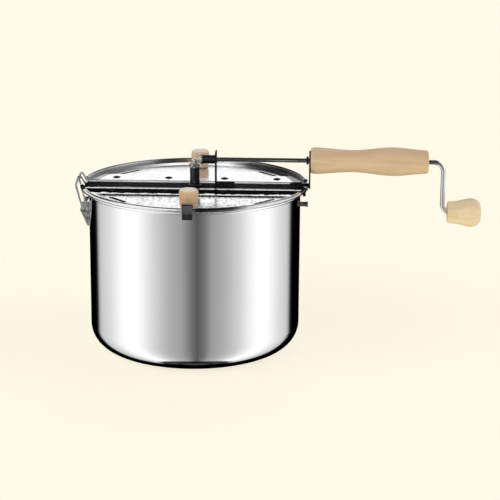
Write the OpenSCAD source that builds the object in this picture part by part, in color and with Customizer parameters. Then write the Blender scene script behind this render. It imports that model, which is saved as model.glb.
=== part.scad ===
// Stovetop popcorn popper: a deep pan, two hinged half lids on a crossbar, and a crank that turns a stirrer
// through a pair of bevel gears. Millimetres. The origin is the middle of the pan's base, +Z is up, +X points
// to the handle and -Y is the front.

/* [Pan] */
// Outer width of the pan's wall
pan_d = 223; // [205:1:240]
// Height of the pan from its base to the top of its rolled rim
pan_h = 173.2; // [140:0.1:210]
// Thickness of the pan's wall
pan_wall = 0.8; // [0.6:0.1:1.2]
// Thickness of the pan's base
pan_base_t = 1.6; // [1:0.1:3]
// Outer radius of the corner between wall and base
pan_corner_r = 26; // [18:1:32]
// How far the rolled rim stands out from the wall
rim_reach = 4.5; // [3.9:0.1:5]
// Thickness of the rolled rim
rim_bead_d = 3.7; // [3:0.1:4]

/* [Lids] */
// How far the lid's rolled edge stands out past the pan's rim
lid_overhang = 4.65; // [3:0.05:6]
// Thickness of the lid's sheet
lid_sheet_t = 0.6; // [0.5:0.1:0.8]
// Thickness of the lid's rolled edge
lid_bead_d = 4.5; // [4:0.1:4.8]
// Width of the flat land between the lid's hinge side and its dish
lid_land_w = 28; // [26:0.5:30]
// How deep the floor of the dish lies below the land and the flange
lid_dish_depth = 1.7; // [1.2:0.1:2.2]
// Gap between the lid's flange and the pan's rim
lid_seat_gap = 0.3; // [0.2:0.1:0.5]
// Length of each steam slot
vent_l = 29; // [20:1:32]
// Width of each steam slot
vent_w = 4.6; // [3:0.2:6]
// Distance of the steam slots' middle from the wall of the lid's dish
vent_inset = 5.4; // [5:0.1:10]
// Distance between the land and the middle of each steam slot
vent_land_gap = 18.2; // [17:0.1:22]

/* [Crossbar] */
// Distance between the two hinge lines
bar_w = 30; // [28:0.5:34]
// Thickness of the crossbar's sheet
bar_t = 0.8; // [0.8:0.1:1]
// How far the crossbar runs on past its hook, at the handle
bar_end_l = 2.2; // [1.5:0.1:4]
// How far the crossbar's end at the latch stays inside the rim's outer edge
bar_latch_inset = 0.2; // [0:0.1:1]
// Outer width of the hinge barrels
barrel_d = 4.2; // [4:0.1:4.6]
// Width of the hinge rods
hinge_rod_d = 2.4; // [2:0.1:2.4]
// Gap between each end of the hinge barrels and the pan's wall
hinge_end_gap = 5.7; // [5:0.1:8]
// Distance between the end of the hinge barrels and the outer rivet of a hinge leaf
leaf_rivet_inset = 19; // [17:0.5:24]
// Distance between the two rivets of a hinge leaf
leaf_rivet_pitch = 56; // [40:1:58]
// Width of the lid's hinge knuckles
knuckle_w = 16; // [12:1:18]
// Thickness of the hinge leaves
leaf_t = 0.8; // [0.7:0.1:0.9]
// How far the hinge leaves reach under the lid, from the hinge line
leaf_reach = 23; // [20:1:26]

/* [Lid knobs and clips] */
// Widest size of a lid knob
lid_knob_d = 19.6; // [16:0.1:22]
// Height of a lid knob
lid_knob_h = 18.7; // [16:0.1:20]
// Gap between a lid knob's foot and the wall of the lid's dish
lid_knob_gap = 0.9; // [0.7:0.1:3]
// Width of the spring clip
clip_w = 10.4; // [8:0.1:12]
// Thickness of the spring clip
clip_t = 0.8; // [0.6:0.1:1]
// Height of the clip's arch above the lid's rolled edge
clip_hump_h = 4.4; // [3:0.1:6]
// How far the clip's leg hangs below the lid's rolled edge
clip_drop = 11.4; // [10:0.1:13]

/* [Crank] */
// Height of the crank rod above the crossbar
crank_rise = 27.8; // [26:0.1:32]
// Width of the crank rod
crank_rod_d = 4.8; // [4:0.1:5]
// Gap between the handle's end and the bend of the crank's arm
crank_arm_gap = 5.5; // [3:0.1:12]
// Distance between the crank rod and the knob's pin
crank_throw = 53.7; // [45:0.1:70]
// Bend radius at the top of the crank's arm
crank_bend_r = 10.5; // [8:0.5:12]
// Bend radius at the foot of the crank's arm
crank_foot_r = 9; // [7:0.5:11]
// Distance between the crank's arm and the knob's face
crank_knob_gap = 5.5; // [5:0.1:8]
// Length of the crank knob
crank_knob_l = 34.9; // [30:0.1:45]
// Widest size of the crank knob
crank_knob_d = 30.2; // [26:0.1:36]
// Size of the crank knob's small end
crank_knob_neck_d = 23.4; // [18:0.1:25]

/* [Handle] */
// Length of the wooden handle
handle_l = 123.2; // [100:0.1:124]
// Widths of the handle at its plate, at its waist, at its palm swell and at its end
handle_d = [28.2, 23.3, 30, 24.6];
// Distance between the crossbar's end and the handle plate
plate_end_gap = 0.8; // [0.4:0.1:2]
// Thickness of the handle plate
plate_t = 1.6; // [1.2:0.1:2]
// Width of the handle plate
plate_w = 24; // [22:0.5:26]
// Height of the handle plate above the crank rod
plate_rise = 9; // [8:0.5:11]

/* [Gears] */
// Number of teeth on each bevel gear
gear_teeth = 12; // [12:2:16]
// Pitch radius of the bevel gears at their large end
gear_pitch_r = 7.2; // [7:0.1:8]
// Depth of the teeth along the gear's axis
gear_face = 3.6; // [3.2:0.1:3.7]
// Thickness of the web behind the teeth
gear_web_t = 1.2; // [1:0.1:1.5]
// Length of the crank gear's hub
crank_hub_l = 12.9; // [12:0.1:14]
// Width of the crank gear's hub
crank_hub_d = 9.2; // [8.6:0.1:11]
// Width of the hub below the stirring shaft's gear
stir_hub_d = 10.4; // [9:0.1:11]
// Thickness of the gear bracket
bracket_t = 1.2; // [1:0.1:1.6]
// Width of the gear bracket
bracket_w = 22; // [18:0.5:24]
// Height of the gear bracket above the crank rod
bracket_rise = 8.8; // [8:0.1:11]
// Length of the gear bracket's foot
bracket_foot_l = 20; // [18:0.5:24]

/* [Stirrer] */
// Width of the stirring shaft
shaft_d = 5; // [4.5:0.1:5]
// Gap between the shaft's lower end and the pan's floor
shaft_floor_gap = 2; // [1.5:0.1:4]
// Width of the stirring wire
stir_wire_d = 3; // [2.5:0.1:3.2]
// Gap between the stirring wire's ends and the pan's wall
stir_wall_gap = 15.7; // [14:0.1:30]
// Width of the collar that carries the stirring wire
collar_d = 13; // [11:0.5:15]
// Height of the collar
collar_h = 13; // [11:0.5:16]

/* [Latch] */
// Thickness of the latch's wire
bail_d = 2.2; // [1.8:0.1:2.4]
// Height of the ear's top below the pan's rim
ear_drop = 16.2; // [15:0.1:20]
// Height of the ear
ear_h = 26; // [24:0.5:30]
// Width of the ear over its two cheeks
ear_w = 24.4; // [22:0.2:26]
// Thickness of the ear's sheet
ear_t = 1; // [0.8:0.1:1.2]
// How far the latch's pivot stands out from the wall
pivot_reach = 5.8; // [5:0.1:7]
// Height of the latch's pivot below the pan's rim
pivot_drop = 24.9; // [24:0.1:26]

/* [Wall stud] */
// Width of the stud on the pan's wall
stud_d = 5; // [4:0.1:6]
// How far the stud stands out from the wall
stud_reach = 8.1; // [6:0.1:10]
// Height of the stud below the pan's rim
stud_drop = 18.5; // [16:0.1:24]

/* [Hidden] */
$fn = 96;
pan_fn = 256;

// Finishes
steel = "#c9cbcc";
dark_steel = "#8d9092";
wood = "#dfbd8c";
nylon = "#26262a";

// One overrun for every cut, one clearance for turning fits and one for driven fits
overrun = 1;
run_gap = 0.06;
drive_gap = 0.01;

// Pan
pan_r = pan_d / 2;
pan_inner_r = pan_r - pan_wall;
rim_r = pan_r + rim_reach;
rim_bead_r = rim_bead_d / 2;

// Crossbar and hinge heights
bar_top = pan_h + bar_t;
barrel_r = barrel_d / 2;
barrel_proud = 0.2;
hinge_z = bar_top + barrel_proud - barrel_r;
hinge_y = bar_w / 2;
hinge_gap = 0.4;
hinge_l = 2 * (pan_inner_r - hinge_end_gap);
hinge_bore_r = hinge_rod_d / 2 + run_gap;
hook_w = 12;
hook_gap = 0.4;
hook_drop = 8;
hook_lip = 2.4;
hook_x = rim_r + hook_gap;
bar_reach_handle = hook_x + bar_t + bar_end_l;
bar_reach_latch = rim_r - bar_latch_inset;

// Lids
lid_r = rim_r + lid_overhang;
lid_bead_r = lid_bead_d / 2;
lid_flange_z = pan_h + lid_seat_gap;
lid_bead_sink = 0.2;
lid_bead_z = lid_flange_z - lid_bead_sink;
lid_top_z = lid_bead_z + lid_bead_d;
lid_flange_top = lid_flange_z + lid_sheet_t;
lid_panel_top = lid_flange_top - lid_dish_depth;
lid_panel_z = lid_panel_top - lid_sheet_t;
lid_edge_gap = 3;
lid_wall_gap = 0.5;
lid_wall_run = 6;
lid_flange_inner_r = pan_inner_r - lid_wall_gap;
lid_dish_r = lid_flange_inner_r - lid_wall_run;
land_y = hinge_y + lid_edge_gap + lid_land_w;
land_run = 3;
vent_pitch_r = lid_dish_r - vent_inset;
vent_angle = asin((land_y + vent_land_gap) / vent_pitch_r);

// Hinge leaves, rivets and knob screws
leaf_rivet_outer_x = hinge_l / 2 - leaf_rivet_inset;
leaf_rivet_x = [leaf_rivet_outer_x - leaf_rivet_pitch, leaf_rivet_outer_x];
leaf_margin = 8;
leaf_step = lid_edge_gap - hinge_gap;
leaf_rivet_d = 4;
leaf_rivet_head_d = 8.4;
leaf_rivet_head_h = 1.3;
leaf_rivet_tail_share = 0.8;
leaf_rivet_y = hinge_y + 16;
knob_screw_d = 4;
knob_screw_head_d = 8.5;
knob_screw_head_h = 2.2;
knob_screw_l = 15;

// Spring clip, in distances from the middle and heights
clip_gap = 0.7;
clip_foot_gap = 0.5;
clip_arch_r = 3.4;
clip_arch_from = 150;
clip_nose_gap = 0.9;
clip_toe = 2.4;

// Handle plate and crank
crank_z = bar_top + crank_rise;
plate_x = bar_reach_handle + plate_end_gap;
handle_x = plate_x + plate_t;
crank_arm_x = handle_x + handle_l + crank_arm_gap + crank_bend_r;
crank_knob_x = crank_arm_x + crank_knob_gap;
knob_recess_d = 11.6;
knob_recess_l = 3.4;
knob_seat_x = crank_knob_x + crank_knob_l - knob_recess_l;
// The knob's mouth opens just wide enough for the crank's foot, which is still bending there
knob_mouth_gap = 0.5;
knob_mouth_l = crank_foot_r - crank_knob_gap + knob_mouth_gap;
foot_inner_r = crank_foot_r - crank_rod_d / 2;
foot_inner_rise = crank_foot_r - sqrt(foot_inner_r ^ 2 - (crank_foot_r - crank_knob_gap) ^ 2);
knob_mouth_r = foot_inner_rise + knob_mouth_gap;
knob_washer_t = 0.8;
knob_washer_gap = 0.5;
peen_d = 7;
peen_l = 1.4;
collar_on_rod_d = 8.4;
collar_on_rod_l = 2.4;
plate_gap = 0.5;
gear_pin_d = 2;
pin_inset = 3;

// Gears: the pitch cones meet at the crossing of the two axes
gear_module = 2 * gear_pitch_r / gear_teeth;
gear_addendum_share = 0.85;
gear_dedendum_share = 1.15;
gear_addendum = gear_module * gear_addendum_share;
gear_dedendum = gear_module * gear_dedendum_share;
gear_tip_share = 0.11;
gear_root_share = 0.27;
gear_web_inset = 0.3;
gear_web_sink = 0.2;
gear_web_r = gear_pitch_r - gear_dedendum - gear_web_inset;
gear_hub_gap = 0.3;
bush_flange_d = 13.6;
bush_flange_t = 1;
bush_body_d = 8.4;
bush_body_l = 7;
bracket_x = gear_pitch_r + gear_web_t + crank_hub_l + gear_hub_gap;
stir_hub_l = crank_z - gear_pitch_r - gear_web_t - bar_top - bush_flange_t - gear_hub_gap;
crank_pin_x = bracket_x - gear_hub_gap - pin_inset;
stir_pin_z = bar_top + bush_flange_t + gear_hub_gap + pin_inset;

// Latch, measured from the pan's rim and wall
pivot_x = -(pan_r + pivot_reach);
pivot_z = pan_h - pivot_drop;
pivot_nose_r = 3.2;
pivot_nose_angles = [172, 218];
cheek_top_reach = 6.8;
cheek_foot_reach = 1.6;
bail_gap = 0.3;
bail_bend_r = 2.4;
bail_foot_bend_r = bail_gap + bail_d / 2 - run_gap;
bail_leg_y = ear_w / 2 + bail_gap + bail_d / 2;
bail_top_y = 7.9;
bail_elbow_gap = 3.75;
bail_elbow_rise = 2.1;
bail_crown_gap = 0.65;
bail_crown_rise = 10.8;
bail_seat_inset = 0.9;
bail_seat_x = -(bar_reach_latch - bail_seat_inset);
bail_seat_z = bar_top + bail_gap + bail_d / 2;
ear_rivet_d = 3.2;
ear_rivet_head_d = 6.4;
ear_rivet_head_h = 1.4;
ear_rivet_inset = 6.5;
ear_rivet_pitch = 11;

// Stud
stud_head_d = 5.6;
stud_head_l = 2.2;
stud_foot_t = 1.2;
stud_foot_d = 8;

// Riveted feet
rivet_d = 3.2;
rivet_head_d = 6;
rivet_head_h = 1.5;
foot_rivet_inset = 5;
foot_w = 16;
plate_foot_l = 20;
bracket_rivet_y = 7;
plate_rivet_y = 4.6;
tab_corner_r = 5;
screw_d = 3;
screw_head_d = 6;
screw_head_l = 1.2;
screw_l = 16;
screw_edge = 1.5;
screw_pitch = plate_w - screw_head_d - 2 * screw_edge;

// Handle and wooden knobs: places along the piece as shares of its length
handle_place_share = [0, 0.36, 0.70, 1];
handle_end_r = 2.2;
crank_knob_place_share = [0, 0.12, 0.72];
turned_steps = 10;
lid_knob_edge_r = 3.6;
lid_knob_width_share = [0.9, 0.975, 1];
lid_knob_height_share = [0, 0.33, 0.6];
lid_knob_y = lid_dish_r - lid_knob_gap - lid_knob_d / 2 * lid_knob_width_share[0];

// Stirrer
shaft_foot_z = pan_base_t + shaft_floor_gap;
shaft_proud = 4.1;
shaft_end_r = 1.6;
stir_z = shaft_foot_z + stir_wire_d / 2;
collar_screw_share = 0.7;
collar_screw_z = shaft_foot_z + collar_h * collar_screw_share;
stir_reach = pan_inner_r - stir_wall_gap;
stir_end_l = 19;
stir_flat = stir_reach - stir_end_l;
stir_lift = 14;
stir_bend_r = 5;
stir_hump_h = 16;
stir_hump_w = 12;
stir_hump_share = 0.44;
stir_hump_x = stir_reach * stir_hump_share;
collar_screw_d = 4;
collar_screw_proud = 1.2;

// Geometry helpers

function unit(v) = v / norm(v);

function right_of(v) = [v[1], -v[0]];

// The corner of a strip's other side, where two of its stretches meet
function mitre(a, b, c) =
    let (first = right_of(unit(b - a)), second = right_of(unit(c - b)), way = unit(first + second))
    way / (way * first);

function side_point(path, i, t) =
    i == 0 ? path[0] + right_of(unit(path[1] - path[0])) * t
    : i == len(path) - 1 ? path[i] + right_of(unit(path[i] - path[i - 1])) * t
    : path[i] + mitre(path[i - 1], path[i], path[i + 1]) * t;

// A bent sheet's section: the path is its left side and the sheet lies t to the right of it
function strip(path, t) = concat(path, [for (i = [len(path) - 1:-1:0]) side_point(path, i, t)]);

function arc(centre, r, from, to, steps) =
    [for (i = [0:steps]) let (a = from + (to - from) * i / steps) centre + r * [cos(a), sin(a)]];

function ease(t) = (1 - cos(180 * t)) / 2;

// Points of a turned outline that passes smoothly through the radii given at the places given
function turned(places, radii) = [
    for (k = [0:len(places) - 2])
        for (i = [0:turned_steps - 1])
            [
                radii[k] + (radii[k + 1] - radii[k]) * ease(i / turned_steps),
                places[k] + (places[k + 1] - places[k]) * i / turned_steps
            ]
];

module basis(x, y, z, at) {
    multmatrix([
        [x[0], y[0], z[0], at[0]],
        [x[1], y[1], z[1], at[1]],
        [x[2], y[2], z[2], at[2]],
        [0, 0, 0, 1]
    ]) children();
}

function any_side(v) = unit(cross(v, abs(v[2]) < 0.9 ? [0, 0, 1] : [1, 0, 0]));

module rod_between(a, b, d) {
    z = unit(b - a);
    x = any_side(z);
    basis(x, cross(z, x), z, a) cylinder(h = norm(b - a), d = d);
}

function turn_at(p, i) = acos(unit(p[i] - p[i - 1]) * unit(p[i + 1] - p[i]));

function trim_at(p, i, r) = i == 0 || i == len(p) - 1 ? 0 : r * tan(turn_at(p, i) / 2);

// Round wire through the points p, with each corner bent to radius r[i]; small balls join the stretches
joint_ball_share = 1.02;

module bent_wire(p, r, d) {
    last = len(p) - 1;
    for (i = [0:last - 1]) {
        way = unit(p[i + 1] - p[i]);
        rod_between(p[i] + way * trim_at(p, i, r[i]), p[i + 1] - way * trim_at(p, i + 1, r[i + 1]), d);
    }
    for (i = [1:last - 1]) {
        way = unit(p[i] - p[i - 1]);
        out = unit(p[i + 1] - p[i]);
        side = cross(way, unit(cross(way, out)));
        start = p[i] - way * trim_at(p, i, r[i]);
        basis(side, way, unit(cross(way, out)), start - side * r[i])
            rotate_extrude(angle = turn_at(p, i)) translate([r[i], 0]) circle(d = d);
        translate(start) sphere(d = d * joint_ball_share);
        translate(p[i] + out * trim_at(p, i, r[i])) sphere(d = d * joint_ball_share);
    }
}

function same(value, count) = [for (i = [1:count]) value];

// Cylinders along the other two axes, from the origin towards +X or +Y
module along_x(h, d) {
    rotate([0, 90, 0]) cylinder(h = h, d = d);
}

module along_y(h, d) {
    rotate([-90, 0, 0]) cylinder(h = h, d = d);
}

module up(z) {
    translate([0, 0, z]) children();
}

// A hole up through a sheet that lies from z = 0 to z = t
module hole_up(t, d) {
    up(-overrun) cylinder(h = t + 2 * overrun, d = d);
}

// A hole along X through a plate that stands from x = 0 to x = t
module hole_along_x(t, d) {
    translate([-overrun, 0, 0]) along_x(t + 2 * overrun, d);
}

// A low domed rivet head on the plane z = 0
module rivet_head(d, h) {
    dome_r = (d * d / 4 + h * h) / (2 * h);
    rotate_extrude() intersection() {
        translate([0, h - dome_r]) circle(dome_r);
        square([d / 2, h]);
    }
}

// A countersunk screw of length l along +X, thinner than its hole by gap all round
module sunk_screw(l, gap) {
    rotate([0, 90, 0]) rotate_extrude() polygon([
        [0, 0], [screw_head_d / 2 - gap, 0], [screw_d / 2 - gap, screw_head_l], [screw_d / 2 - gap, l], [0, l]
    ]);
}

// The hole for it, whose cone runs on past the face that it is sunk in
module sunk_hole(l) {
    flare = (screw_head_d - screw_d) / 2 / screw_head_l * overrun;
    rotate([0, 90, 0]) rotate_extrude() polygon([
        [0, -overrun], [screw_head_d / 2 + flare, -overrun],
        [screw_d / 2, screw_head_l], [screw_d / 2, l], [0, l]
    ]);
}

// Places

module at_leaf_rivets() {
    for (side = [-1, 1], x = leaf_rivet_x) translate([side * x, leaf_rivet_y, 0]) children();
}

module at_ear_rivets() {
    for (i = [0:1]) up(pan_h - ear_drop - ear_rivet_inset - i * ear_rivet_pitch) children();
}

module at_bracket_rivets() {
    rivet_x = bracket_x + bracket_foot_l - foot_rivet_inset;
    for (side = [-1, 1]) translate([rivet_x, side * bracket_rivet_y, 0]) children();
}

module at_plate_rivets() {
    rivet_x = plate_x - plate_foot_l + foot_rivet_inset;
    for (side = [-1, 1]) translate([rivet_x, side * plate_rivet_y, 0]) children();
}

module at_handle_screws() {
    for (side = [-1, 1]) translate([plate_x, side * screw_pitch / 2, crank_z]) children();
}

module at_front() {
    mirror([0, 1, 0]) children();
}

// Pan

module bowl_section(r, corner, bottom) {
    translate([0, bottom + corner]) square([r, pan_h - bottom - corner]);
    translate([0, bottom]) square([r - corner, corner]);
    translate([r - corner, bottom + corner]) intersection() {
        circle(corner);
        mirror([0, 1]) square(corner);
    }
}

module pan() {
    bead_r = rim_r - rim_bead_r;
    color(steel) difference() {
        union() {
            rotate_extrude() difference() {
                bowl_section(pan_r, pan_corner_r, 0);
                bowl_section(pan_inner_r, pan_corner_r - pan_wall, pan_base_t);
            }
            rotate_extrude() {
                translate([pan_inner_r, pan_h - pan_wall]) square([bead_r - pan_inner_r, pan_wall]);
                translate([bead_r, pan_h - rim_bead_r]) circle(rim_bead_r);
            }
        }
        translate([pan_inner_r, 0, pan_h - stud_drop]) hole_along_x(pan_wall, stud_d);
        translate([-pan_r, 0, 0]) at_ear_rivets() hole_along_x(pan_wall, ear_rivet_d);
    }
}

module wall_stud() {
    color(dark_steel) up(pan_h - stud_drop) {
        translate([pan_inner_r - stud_foot_t / 2, 0, 0])
            along_x(stud_foot_t / 2 + pan_wall + stud_reach - stud_head_l, stud_d - 2 * drive_gap);
        translate([pan_r + stud_reach - stud_head_l, 0, 0]) along_x(stud_head_l, stud_head_d);
        intersection() {
            translate([pan_inner_r - stud_foot_t, 0, 0]) along_x(stud_foot_t + pan_wall, stud_foot_d);
            up(-stud_foot_d) cylinder(h = 2 * stud_foot_d, r = pan_inner_r, $fn = pan_fn);
        }
    }
}

// Latch ear and bail

module cheek_outline() {
    top = pan_h - ear_drop;
    polygon(concat(
        [[-pan_r, top], [-pan_r - cheek_top_reach, top]],
        arc([pivot_x, pivot_z], pivot_nose_r, pivot_nose_angles[0], pivot_nose_angles[1], 6),
        [[-pan_r - cheek_foot_reach, top - ear_h], [-pan_r, top - ear_h]]
    ));
}

module latch_ear() {
    top = pan_h - ear_drop;
    color(steel) difference() {
        union() {
            translate([-pan_r - cheek_foot_reach, -ear_w / 2, top - ear_h])
                cube([cheek_foot_reach + ear_t, ear_w, ear_h]);
            for (y = [-ear_w / 2 + ear_t, ear_w / 2])
                translate([0, y, 0]) rotate([90, 0, 0]) linear_extrude(ear_t) cheek_outline();
        }
        cylinder(h = pan_h, r = pan_r, $fn = pan_fn);
        translate([pivot_x, -ear_w, pivot_z]) along_y(2 * ear_w, bail_d + 2 * run_gap);
        translate([-pan_r - cheek_top_reach, 0, 0]) at_ear_rivets()
            hole_along_x(cheek_top_reach, ear_rivet_d);
    }
}

module ear_rivets() {
    color(dark_steel) at_ear_rivets() {
        translate([-pan_r - cheek_foot_reach, 0, 0]) {
            along_x(cheek_foot_reach + pan_wall + ear_rivet_head_h / 2, ear_rivet_d - 2 * drive_gap);
            rotate([0, -90, 0]) rivet_head(ear_rivet_head_d, ear_rivet_head_h);
        }
        intersection() {
            translate([-pan_r, 0, 0]) along_x(pan_wall + ear_rivet_head_h, ear_rivet_head_d);
            up(-ear_rivet_head_d) cylinder(h = 2 * ear_rivet_head_d, r = pan_inner_r, $fn = pan_fn);
        }
    }
}

function bail_side(side) = [
    [-lid_r - bail_crown_gap, side * bail_top_y, bail_seat_z + bail_crown_rise],
    [-lid_r - bail_elbow_gap, side * bail_leg_y, pan_h + bail_elbow_rise],
    [pivot_x, side * bail_leg_y, pivot_z],
    [pivot_x, side * (ear_w / 2 - ear_t - bail_d / 2), pivot_z]
];

module latch_bail() {
    front = bail_side(-1);
    rear = bail_side(1);
    path = [
        front[3], front[2], front[1], front[0], [bail_seat_x, -bail_top_y, bail_seat_z],
        [bail_seat_x, bail_top_y, bail_seat_z], rear[0], rear[1], rear[2], rear[3]
    ];
    bends = concat([0, bail_foot_bend_r], same(bail_bend_r, len(path) - 4), [bail_foot_bend_r, 0]);
    color(dark_steel) bent_wire(path, bends, bail_d);
}

// Crossbar with its hinge barrels

module leaf_knuckle_spans(grow) {
    for (side = [-1, 1], x = leaf_rivet_x)
        translate([side * x - knuckle_w / 2 - grow, 0, 0]) along_x(knuckle_w + 2 * grow, barrel_d + 2 * grow);
}

module at_hinge(side) {
    translate([0, side * hinge_y, hinge_z]) children();
}

module crossbar() {
    color(steel) difference() {
        union() {
            translate([-bar_reach_latch, -hinge_y, pan_h])
                cube([bar_reach_latch + bar_reach_handle, bar_w, bar_t]);
            for (side = [-1, 1]) at_hinge(side) translate([-hinge_l / 2, 0, 0]) along_x(hinge_l, barrel_d);
            translate([0, hook_w / 2, 0]) rotate([90, 0, 0]) linear_extrude(hook_w) polygon(strip([
                [hook_x + bar_t, bar_top - bar_t / 2],
                [hook_x + bar_t, pan_h - hook_drop - bar_t],
                [hook_x - hook_lip, pan_h - hook_drop - bar_t]
            ], bar_t));
        }
        for (side = [-1, 1]) at_hinge(side) {
            translate([-hinge_l / 2 - overrun, 0, 0]) along_x(hinge_l + 2 * overrun, 2 * hinge_bore_r);
            leaf_knuckle_spans(hinge_gap);
        }
        up(pan_h) {
            hole_up(bar_t, bush_body_d + 2 * drive_gap);
            at_bracket_rivets() hole_up(bar_t, rivet_d);
            at_plate_rivets() hole_up(bar_t, rivet_d);
        }
    }
}

module hinge_rod() {
    color(dark_steel) at_hinge(1) translate([-hinge_l / 2, 0, 0]) along_x(hinge_l, hinge_rod_d);
}

module front_hinge_rod() {
    at_front() hinge_rod();
}

module rear_hinge_rod() {
    hinge_rod();
}

// Upright brackets on the crossbar

// A plate of width w and height h that stands on y = 0, with rounded upper corners
module tab_outline(w, h) {
    translate([-w / 2, 0]) square([w, h - tab_corner_r]);
    translate([-w / 2 + tab_corner_r, 0]) square([w - 2 * tab_corner_r, h]);
    for (side = [-1, 1]) translate([side * (w / 2 - tab_corner_r), h - tab_corner_r]) circle(tab_corner_r);
}

module upright(w, h, t) {
    rotate([90, 0, 90]) linear_extrude(t) tab_outline(w, h);
}

module gear_bracket() {
    color(steel) difference() {
        translate([bracket_x, 0, bar_top]) {
            upright(bracket_w, crank_rise + bracket_rise, bracket_t);
            translate([0, -bracket_w / 2, 0]) cube([bracket_foot_l, bracket_w, bracket_t]);
        }
        up(bar_top) at_bracket_rivets() hole_up(bracket_t, rivet_d);
        translate([bracket_x, 0, crank_z]) hole_along_x(bracket_t, crank_rod_d + 2 * run_gap);
    }
}

module handle_plate() {
    color(steel) difference() {
        translate([plate_x, 0, bar_top]) {
            upright(plate_w, crank_rise + plate_rise, plate_t);
            translate([-plate_foot_l, -foot_w / 2, 0]) cube([plate_foot_l + plate_t, foot_w, plate_t]);
        }
        up(bar_top) at_plate_rivets() hole_up(plate_t, rivet_d);
        translate([plate_x, 0, crank_z]) hole_along_x(plate_t, crank_rod_d + 2 * run_gap);
        at_handle_screws() sunk_hole(plate_t + overrun);
    }
}

// A rivet through the crossbar and a foot of thickness t
module foot_rivet(t) {
    up(pan_h) cylinder(h = bar_t + t, d = rivet_d - 2 * drive_gap);
    up(bar_top + t) rivet_head(rivet_head_d, rivet_head_h);
    up(pan_h) mirror([0, 0, 1]) rivet_head(rivet_head_d, rivet_head_h);
}

module bracket_rivets() {
    color(dark_steel) {
        at_bracket_rivets() foot_rivet(bracket_t);
        at_plate_rivets() foot_rivet(plate_t);
    }
}

module shaft_bush() {
    color(nylon) difference() {
        up(bar_top) {
            cylinder(h = bush_flange_t, d = bush_flange_d);
            up(-bush_body_l) cylinder(h = bush_body_l, d = bush_body_d);
        }
        cylinder(h = crank_z, d = shaft_d + 2 * run_gap);
    }
}

// Handle

module handle_grip() {
    places = handle_l * handle_place_share;
    radii = handle_d / 2;
    end_r = radii[3];
    outline = concat(
        [[0, 0], [radii[0] - handle_end_r / 2, 0]],
        [for (p = turned(places, radii)) if (p[1] > handle_end_r / 2 && p[1] < handle_l - handle_end_r) p],
        arc([end_r - handle_end_r, handle_l - handle_end_r], handle_end_r, 0, 90, 5),
        [[0, handle_l]]
    );
    color(wood) difference() {
        translate([handle_x, 0, crank_z]) rotate([0, 90, 0]) rotate_extrude() polygon(outline);
        translate([handle_x, 0, crank_z]) hole_along_x(handle_l, crank_rod_d + 2 * run_gap);
        at_handle_screws() along_x(screw_l + run_gap, screw_d);
    }
}

module handle_screws() {
    color(dark_steel) at_handle_screws() sunk_screw(screw_l, drive_gap);
}

// Half lids, drawn on the rear side and mirrored to the front

// The dish as a solid that stands on its floor: round outside, straight along the land, with sloping sides
module dish(h) {
    rise_share = h / lid_dish_depth;
    intersection() {
        cylinder(h = h, r1 = lid_dish_r, r2 = lid_dish_r + lid_wall_run * rise_share, $fn = pan_fn);
        translate([-lid_r, 0, 0]) rotate([90, 0, 90]) linear_extrude(2 * lid_r) polygon([
            [land_y + land_run, 0], [land_y + land_run * (1 - rise_share), h], [lid_r, h], [lid_r, 0]
        ]);
    }
}

module half_lid_plate() {
    color(steel) difference() {
        union() {
            intersection() {
                union() {
                    up(lid_flange_z) cylinder(h = lid_sheet_t, r = lid_r - lid_bead_r, $fn = pan_fn);
                    up(lid_bead_z + lid_bead_r)
                        rotate_extrude() translate([lid_r - lid_bead_r, 0]) circle(lid_bead_r);
                }
                translate([-lid_r - overrun, hinge_y + lid_edge_gap, lid_bead_z - overrun])
                    cube([2 * lid_r + 2 * overrun, lid_r, lid_bead_d + 2 * overrun]);
            }
            up(lid_panel_z) dish(lid_dish_depth + lid_sheet_t / 2);
        }
        up(lid_panel_top) dish(lid_dish_depth + overrun);
        for (angle = [vent_angle, 180 - vent_angle])
            rotate([0, 0, angle]) translate([vent_pitch_r, 0, lid_panel_z - overrun])
                linear_extrude(lid_sheet_t + 2 * overrun) {
                    square([vent_w, vent_l - vent_w], center = true);
                    for (end = [-1, 1]) translate([0, end * (vent_l - vent_w) / 2]) circle(d = vent_w);
                }
        up(lid_flange_z) at_leaf_rivets() hole_up(lid_sheet_t, leaf_rivet_d);
        translate([0, lid_knob_y, lid_panel_z]) hole_up(lid_sheet_t, knob_screw_d);
    }
}

// Flat leaves that lie under the land, each with two necks that end in the knuckles
module half_lid_leaves() {
    leaf_z = lid_flange_z - hinge_z - leaf_t;
    leaf_l = leaf_rivet_x[1] - leaf_rivet_x[0] + 2 * leaf_margin;
    color(steel) difference() {
        at_hinge(1) for (side = [-1, 1]) {
            translate([side * (leaf_rivet_x[0] + leaf_rivet_x[1]) / 2 - leaf_l / 2, leaf_step, leaf_z])
                cube([leaf_l, leaf_reach - leaf_step, leaf_t]);
            for (x = leaf_rivet_x) translate([side * x - knuckle_w / 2, 0, 0]) {
                along_x(knuckle_w, barrel_d);
                up(leaf_z) cube([knuckle_w, 2 * leaf_step, leaf_t]);
            }
        }
        at_hinge(1) translate([-hinge_l / 2, 0, 0]) along_x(hinge_l, 2 * hinge_bore_r);
        up(lid_flange_z - leaf_t) at_leaf_rivets() hole_up(leaf_t, leaf_rivet_d);
    }
}

module half_lid_rivets() {
    stack = lid_sheet_t + leaf_t;
    color(dark_steel) up(lid_flange_top) at_leaf_rivets() {
        up(-stack) cylinder(h = stack, d = leaf_rivet_d - 2 * drive_gap);
        rivet_head(leaf_rivet_head_d, leaf_rivet_head_h);
        up(-stack) mirror([0, 0, 1]) rivet_head(leaf_rivet_head_d * leaf_rivet_tail_share, leaf_rivet_head_h);
    }
}

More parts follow.
